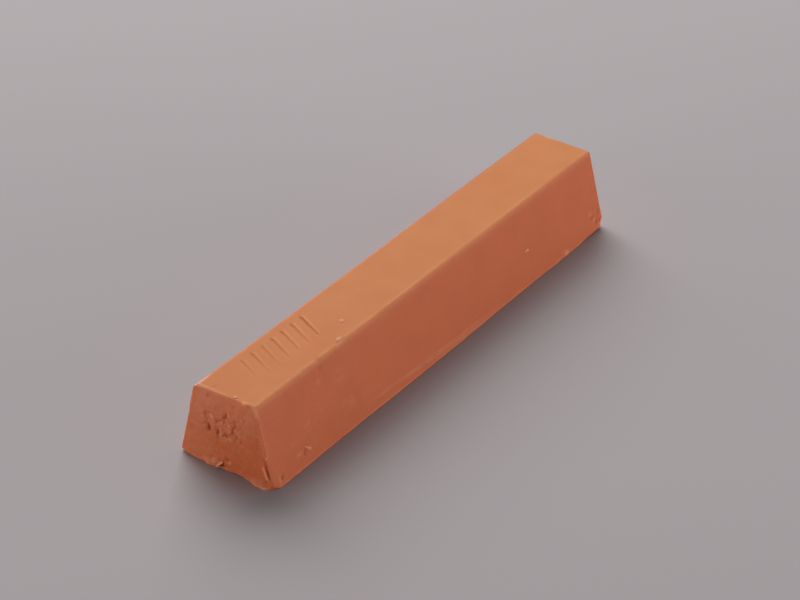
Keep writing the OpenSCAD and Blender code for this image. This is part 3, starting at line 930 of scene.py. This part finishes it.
def wax_material(name, bar, worn):
    """Hard wax: mottled terracotta under a satin skin, with painted top light on its top face, pale where
    scraped and where highlights and sheen are painted, and painted shade in its pits.

    The worn share makes a scrap paler and duller than the bar.
    """
    material, sheet = blank_material(name)
    place = sheet.add("ShaderNodeTexCoord", output="Object")
    stretched = sheet.add("ShaderNodeVectorMath", {"operation": "MULTIPLY"}, {0: place, 1: STREAK_DRAW})
    pale, hollow, bloom = (sheet.add("ShaderNodeAttribute", {"attribute_name": layer}, output="Fac")
                           for layer in ("pale", "hollow", "bloom"))
    mottle = cloud(sheet, place, MOTTLE_SIZE, 4.0, 0.55)
    grain = cloud(sheet, place, GRAIN_SIZE, 5.0, 0.62)
    fine = cloud(sheet, place, FINE_SIZE, 3.0, 0.6)
    drawn = cloud(sheet, stretched, STREAK_SIZE, 3.0, 0.6)
    # Painted top light: the lit top colour on faces that look up, the side colour elsewhere
    body = bloom.blend(rgba(bar.side_colour), rgba(bar.lit_top_colour))
    shade = rgba(bar.side_colour, MOTTLE_SHADE)
    body = (mottle.between(0.35, 0.75) * (0.45 - 0.35 * bloom)).blend(body, shade)
    body = (grain.between(0.50, 0.80) * (0.125 - 0.09 * bloom)).blend(body, rgba(bar.pale_colour))
    # Pale: scraped and torn wax, and painted highlights, sheen and light
    body = (pale * (0.65 + 0.45 * grain) + worn).blend(body, rgba(bar.pale_colour))
    # Painted shade: pits, splits, dents and grooves darkened towards the pit shade colour
    body = (hollow.between(0.05, 1.0) * 0.9).blend(body, rgba(bar.pit_shade_colour))
    rough = 0.55 + 0.08 * mottle + 0.08 * grain + 0.09 * bloom + 0.12 * hollow + 0.10 * worn
    relief = 0.55 * grain + 0.25 * fine + 0.35 * drawn * (1 - hollow)
    bump = sheet.add("ShaderNodeBump", None, {
        "Strength": RELIEF_STRENGTH, "Distance": RELIEF_HEIGHT, "Height": relief})
    wax = sheet.add("ShaderNodeBsdfPrincipled", None, {
        "Base Color": body, "Roughness": rough, "Normal": bump, "IOR": WAX_IOR,
        "Subsurface Weight": SPREAD_WEIGHT, "Subsurface Radius": SPREAD_COLOUR,
        "Subsurface Scale": SPREAD_REACH})
    sheet.add("ShaderNodeOutputMaterial", None, {"Surface": wax})
    return material


class WAXSTICK_OT_bar(bpy.types.Operator):
    """Builds the cast bar with its pressed strokes, pits, chips and corner split"""

    bl_idname = "wax_stick.bar"
    bl_label = "Wax Bar"

    def execute(self, context):
        bar, strokes = context.scene.wax_bar, context.scene.wax_strokes
        size = BarSize(bar)
        points, faces, flat_map = smooth_bar(size)
        piece = new_piece("cast_bar", points, faces, wax_material("hard_wax", bar, 0.0), "wax_bar")
        mesh = piece.data
        normals = np.zeros(len(points) * 3, np.float32)
        mesh.vertices.foreach_get("normal", normals)
        skin = Skin(points, normals.reshape(-1, 3).astype(float))
        swell(skin)
        press_strokes(skin, bar, strokes)
        crumble_end(skin, -1, WORN_PITS, WORN_GRAINS)
        crumble_end(skin, 1, CLEAN_PITS, CLEAN_GRAINS)
        split_corner(skin, size)
        mark_sides(skin, size)
        rag = skin.lumps(size=0.5, seed=51, octaves=2)
        smear_edges(skin, size, rag)
        flare_foot(skin, rag)
        skin.raise_all()
        wear_edges(skin, size)
        mesh.vertices.foreach_set("co", (skin.points * MM).astype(np.float32).ravel())
        for name, values in (("pale", skin.pale), ("hollow", skin.hollow), ("bloom", skin.bloom)):
            store(mesh, name, values)
        mesh.uv_layers.new(name="OFBake").data.foreach_set("uv", flat_map.astype(np.float32).ravel())
        mesh.update()
        return {"FINISHED"}


def right_side(size):
    """A point of the right side's plane, its way out and its way up the slope, in millimetres."""
    out = Vector((0, -math.cos(size.draft), math.sin(size.draft)))
    slope = Vector((0, math.sin(size.draft), math.cos(size.draft)))
    return Vector((0, -size.base, 0)), out, slope


# How many planes a crumb is broken along, how far from its middle they lie, how far it goes below its
# seat, and how flat its top is
CRUMB_BREAKS = 9
BREAK_RANGE = (0.26, 0.42)
CRUMB_UNDER = 0.08
CRUMB_FLATNESS = 2.2


def broken_crumb(seed):
    """Points and faces of a crumb: a ball broken along planes and roughened, 1 wide and 1 above its seat."""
    ball = bmesh.new()
    bmesh.ops.create_icosphere(ball, subdivisions=4, radius=0.5)
    points = np.array([vertex.co for vertex in ball.verts])
    faces = [[vertex.index for vertex in face.verts] for face in ball.faces]
    ball.free()
    chance = np.random.default_rng(seed)
    for _ in range(CRUMB_BREAKS):
        facing = chance.normal(size=3)
        facing /= np.linalg.norm(facing)
        beyond = np.maximum(points @ facing - chance.uniform(*BREAK_RANGE), 0)
        points = points - facing * beyond[:, None]
    coarse = lumps(points, size=0.30, seed=seed, octaves=2)
    fine = lumps(points, size=0.10, seed=seed + 1, octaves=2)
    points = points * (1 + 0.16 * coarse + 0.08 * fine)[:, None]
    points[:, 2] = np.maximum(points[:, 2], -CRUMB_UNDER)
    low, high = points.min(axis=0), points.max(axis=0)
    points = (points - (low + high) / 2 * (1, 1, 0)) / (high - low * (1, 1, 0))
    points[:, 2] = np.tanh(CRUMB_FLATNESS * points[:, 2]) / math.tanh(CRUMB_FLATNESS)
    return points, faces


# How far a crumb is sunk into its face, in millimetres, and the seed of the first one
SEAT_DEPTH = 0.03
CRUMB_SEED = 60
# How each crumb lies: the face that it is on, its length, breadth and height as shares of its solid's
# length, how far it is turned on the face in degrees, how far its middle lies from its solid's along the
# bar and across the face, as shares too, and how pale it is
CRUMBS = {
    "side_crumb": ("side", 1.28, 0.42, 0.13, -36, 0.20, 0.28, 0.05),
    "ridge_crumb": ("ridge", 1.40, 0.68, 0.09, 0, 0.39, 0.22, 0.30),
    "top_crumb": ("top", 0.85, 0.85, 0.085, 30, 0.0, 0.0, 0.10),
    "end_rim_crumb": ("top", 0.85, 0.80, 0.11, 0, 0.48, 0.0, 0.20),
    "far_side_crumb": ("side", 1.35, 0.60, 0.14, 0, 0.15, 0.05, 0.12),
}


class WAXSTICK_OT_crumbs(bpy.types.Operator):
    """Builds the crumbs that cling to the bar, each where its solid is"""

    bl_idname = "wax_stick.crumbs"
    bl_label = "Crumbs"

    def execute(self, context):
        bar = context.scene.wax_bar
        size = BarSize(bar)
        material = wax_material("scraped_wax", bar, CRUMB_WORN)
        point, side_out, _ = right_side(size)
        ridge = Vector((0, RIDGE_INSET - size.top, size.height))
        seats = {
            "side": (point, side_out),
            "top": (Vector((0, 0, size.height)), Vector((0, 0, 1))),
            "ridge": (ridge, Vector((0, -math.sin(RIDGE_LEAN), math.cos(RIDGE_LEAN)))),
        }
        for seed, (node, lie) in enumerate(CRUMBS.items(), CRUMB_SEED):
            face, *shares, turn, ahead, aside, pale = lie
            low, high = node_box(node)
            length = high.x - low.x
            origin, out = seats[face]
            forward = Vector((1, 0, 0))
            across = out.cross(forward)
            middle = (low + high) / 2 + forward * ahead * length + across * aside * length
            middle -= out * ((middle - origin).dot(out) + SEAT_DEPTH)
            points, faces = broken_crumb(seed)
            angle = math.radians(turn)
            axes = np.array((
                forward * math.cos(angle) + across * math.sin(angle),
                across * math.cos(angle) - forward * math.sin(angle), out))
            places = np.array(middle) + (points * shares * length) @ axes
            piece = new_piece(
                node.replace("_crumb", "_clinging_crumb"), places, faces, material, node)
            # Paler towards its top: partly scraped wax, partly a painted highlight on the top that faces the
            # light
            store(piece.data, "pale", pale * smooth(0.2, 0.8, points[:, 2]))
        return {"FINISHED"}


# Points round the sliver and the flake
RING = 20
# The sliver: steps along it, how far it is rooted in the end and sunk below the side, in millimetres, and
# where its knob is along it and how far the knob reaches
SLIVER_STEPS = 72
SLIVER_ROOT = 0.25
SLIVER_SUNK = 0.01
KNOB_PLACE = 0.98
KNOB_REACH = 0.05
KNOB_PALE = 0.7
# The power that squares off the sliver's section
SQUARING = 0.6


def squared_off(value):
    """A sine or cosine pushed toward 1 or -1."""
    return math.copysign(abs(value) ** SQUARING, value)


class WAXSTICK_OT_corner_sliver(bpy.types.Operator):
    """Builds the thin sliver that stands along the right corner of the worn end"""

    bl_idname = "wax_stick.corner_sliver"
    bl_label = "Corner Sliver"

    def execute(self, context):
        bar = context.scene.wax_bar
        point, out, slope = right_side(BarSize(bar))
        low, high = node_box("corner_sliver")
        foot, tip = low.z / slope.z, high.z / slope.z
        turns = np.linspace(0, 2 * math.pi, RING, endpoint=False)
        places, pale = [], []
        for step in range(SLIVER_STEPS + 1):
            share = step / SLIVER_STEPS
            up = foot + (tip - foot) * share
            wobble = torn_noise((0.0, 3.1, up / 0.9), 3)
            swelling = math.sin(math.pi * share) ** 0.5
            knob = math.exp(-((share - KNOB_PLACE) / KNOB_REACH) ** 2)
            proud = (high.x - low.x) * (0.50 * swelling + 0.45 * knob) * (0.9 + 0.3 * wobble) + 0.01
            width = SLIVER_WIDTH * (0.45 + 0.55 * share)
            half_width = width / 2 * (0.55 + 0.45 * swelling) * (0.92 + 0.2 * wobble)
            middle = Vector((high.x + (SLIVER_ROOT - proud) / 2, 0, 0)) + point + slope * up
            middle -= out * (half_width + SLIVER_SUNK)
            for turn in turns:
                ahead = Vector((squared_off(math.cos(turn)) * (SLIVER_ROOT + proud) / 2, 0, 0))
                places.append(middle + ahead + out * squared_off(math.sin(turn)) * half_width)
                pale.append(KNOB_PALE * knob)
        material = wax_material("split_wax", bar, SLIVER_WORN)
        faces = tube_faces(SLIVER_STEPS, RING)
        piece = new_piece("standing_sliver", places, faces, material, "corner_sliver")
        store(piece.data, "pale", pale)
        weld(piece.data)
        return {"FINISHED"}


# The flake: steps along it, where its root and its tip lie across its solid's box, as shares, how far they
# lie above the box's top and bottom, how far it tilts and how thick it is, in millimetres
FLAKE_STEPS = 48
FLAKE_ROOT = 0.28
FLAKE_TIP = 0.82
ROOT_ABOVE = 0.05
TIP_ABOVE = 0.06
FLAKE_TILT = 0.16
FLAKE_THICKNESS = 0.10
# The furthest that the flake goes into the end, in millimetres
FLAKE_SUNK = 0.1


class WAXSTICK_OT_edge_flake(bpy.types.Operator):
    """Builds the torn flake that is pushed out of the lower edge of the worn end"""

    bl_idname = "wax_stick.edge_flake"
    bl_label = "Edge Flake"

    def execute(self, context):
        bar = context.scene.wax_bar
        low, high = node_box("base_edge_flake")
        end, reach, breadth = -BarSize(bar).half, high.x - low.x, high.y - low.y
        root = Vector((0, low.y + FLAKE_ROOT * breadth, high.z + ROOT_ABOVE))
        tip = Vector((0, low.y + FLAKE_TIP * breadth, low.z + TIP_ABOVE))
        run = tip - root
        across = Vector((0, -run.z, run.y)).normalized()
        places = []
        for step in range(FLAKE_STEPS + 1):
            share = step / FLAKE_STEPS
            torn = torn_noise((share * 5.0, 2.0, 4.0), 3)
            half = (0.18 + 0.11 * torn) * math.sin(math.pi * min(1.0, 0.22 + 0.78 * share)) ** 0.6 + 0.02
            middle = root + run * share + across * (0.06 * math.sin(math.pi * share) + 0.05 * torn)
            curl = reach * (0.12 + 0.78 * math.sin(0.56 * math.pi * share) ** 1.2)
            thick = FLAKE_THICKNESS * (1 - 0.45 * share)
            for corner in range(RING):
                turn = 2 * math.pi * corner / RING
                side, face = math.cos(turn), math.sin(turn)
                rough = 0.025 * noise.noise((share * 9, side * 2, face * 2))
                out = curl - FLAKE_TILT * side + face * thick + rough
                places.append((end - max(out, -FLAKE_SUNK), *(middle + across * side * half)[1:]))
        material = wax_material("torn_wax", bar, FLAKE_WORN_AND_LIT)
        faces = tube_faces(FLAKE_STEPS, RING)
        piece = new_piece("torn_flake", places, faces, material, "base_edge_flake")
        weld(piece.data)
        return {"FINISHED"}


class WAXSTICK_OT_stage(bpy.types.Operator):
    """Lays the floor, lights it softly and sets the camera"""

    bl_idname = "wax_stick.stage"
    bl_label = "Stage"

    def execute(self, context):
        stage = context.scene.wax_stage
        lay_floor(stage)
        light_stage(context.scene, stage)
        set_camera(context.scene, stage)
        context.scene.view_settings.view_transform = "Standard"
        return {"FINISHED"}


# How far the floor reaches each way, in metres, its corners, and the size and height of its grain
FLOOR_REACH = 3.0
FLOOR_CORNERS = ((-1, -1), (1, -1), (1, 1), (-1, 1))
FLOOR_GRAIN = 0.5 * MM
FLOOR_RELIEF = 0.02 * MM


def lay_floor(stage):
    """A plain floor, a little rough, that the bar lies on."""
    mesh = bpy.data.meshes.new("floor")
    mesh.from_pydata([(x * FLOOR_REACH, y * FLOOR_REACH, 0) for x, y in FLOOR_CORNERS], [], [(0, 1, 2, 3)])
    material, sheet = blank_material("plain_floor")
    place = sheet.add("ShaderNodeTexCoord", output="Object")
    grain = cloud(sheet, place, FLOOR_GRAIN)
    bump = sheet.add("ShaderNodeBump", None, {"Strength": 0.1, "Distance": FLOOR_RELIEF, "Height": grain})
    paint = sheet.add("ShaderNodeBsdfPrincipled", None, {
        "Base Color": rgba(stage.floor_colour), "Roughness": 0.9, "Specular IOR Level": 0.15, "Normal": bump})
    sheet.add("ShaderNodeOutputMaterial", None, {"Surface": paint})
    mesh.materials.append(material)
    floor = bpy.data.objects.new("floor", mesh)
    bpy.context.scene.collection.objects.link(floor)


SKY_COLOUR = (0.96, 0.97, 1.0, 1.0)
# Where each soft lamp stands, its width and its height, in metres
LAMPS = {
    "window": ((0.46, 0.57, 0.60), 0.8, 0.8),
    "card": ((0.20, -0.50, 0.05), 0.5, 0.08),
    "front": ((-0.50, 0.22, 0.05), 0.45, 0.08),
}


def light_stage(scene, stage):
    """Even light from all round, and soft lamps behind the bar to its left, at its right and in front."""
    world = bpy.data.worlds.new("room")
    world.use_nodes = True
    background = world.node_tree.nodes["Background"]
    background.inputs["Color"].default_value = SKY_COLOUR
    background.inputs["Strength"].default_value = stage.sky
    scene.world = world
    for name, (place, width, height) in LAMPS.items():
        lamp = bpy.data.lights.new(name, "AREA")
        lamp.shape = "RECTANGLE"
        lamp.size = width
        lamp.size_y = height
        lamp.energy = getattr(stage, name)
        holder = bpy.data.objects.new(name, lamp)
        holder.location = place
        holder.rotation_euler = (-Vector(place)).to_track_quat("-Z", "Y").to_euler()
        scene.collection.objects.link(holder)


# Where the camera stands and what it looks at, in millimetres, its sensor's width in millimetres, and the
# nearest that it sees, in metres
CAMERA_PLACE = Vector((-232.05, -165.26, 194.01))
CAMERA_AIM = Vector((-1.64, -0.02, 6.0))
SENSOR_WIDTH = 36
CLIP_START = 0.01


def set_camera(scene, stage):
    """The camera at the photograph's height, distance and angle."""
    camera = bpy.data.cameras.new("camera")
    camera.lens = stage.lens
    camera.sensor_width = SENSOR_WIDTH
    camera.clip_start = CLIP_START
    holder = bpy.data.objects.new("camera", camera)
    holder.location = CAMERA_PLACE * MM
    holder.rotation_euler = (CAMERA_AIM - CAMERA_PLACE).to_track_quat("-Z", "Y").to_euler()
    scene.collection.objects.link(holder)
    scene.camera = holder


class WAXSTICK_PT_panel(bpy.types.Panel):
    """Lists what the wax stick is built of and the sizes of each"""

    bl_idname = "WAXSTICK_PT_panel"
    bl_label = "Wax Stick"
    bl_space_type = "VIEW_3D"
    bl_region_type = "UI"
    bl_category = "Wax Stick"

    def draw(self, context):
        layout = self.layout
        for group in GROUPS:
            settings = getattr(context.scene, group)
            box = layout.box()
            for name in settings.__annotations__:
                box.prop(settings, name)
        for operator in OPERATORS:
            layout.operator(operator.bl_idname)


OPERATORS = (
    WAXSTICK_OT_bar, WAXSTICK_OT_corner_sliver, WAXSTICK_OT_edge_flake, WAXSTICK_OT_crumbs, WAXSTICK_OT_stage)
GROUPS = {"wax_bar": WaxBarSettings, "wax_strokes": StrokeSettings, "wax_stage": StageSettings}


def register():
    for kind in (*GROUPS.values(), *OPERATORS, WAXSTICK_PT_panel):
        bpy.utils.register_class(kind)
    for name, kind in GROUPS.items():
        setattr(bpy.types.Scene, name, PointerProperty(type=kind))


def unregister():
    for name in GROUPS:
        delattr(bpy.types.Scene, name)
    for kind in (WAXSTICK_PT_panel, *reversed(OPERATORS), *reversed(GROUPS.values())):
        bpy.utils.unregister_class(kind)


def main():
    register()
    bpy.ops.wax_stick.bar()
    bpy.ops.wax_stick.corner_sliver()
    bpy.ops.wax_stick.edge_flake()
    bpy.ops.wax_stick.crumbs()
    bpy.ops.wax_stick.stage()


if __name__ == "__main__":
    main()
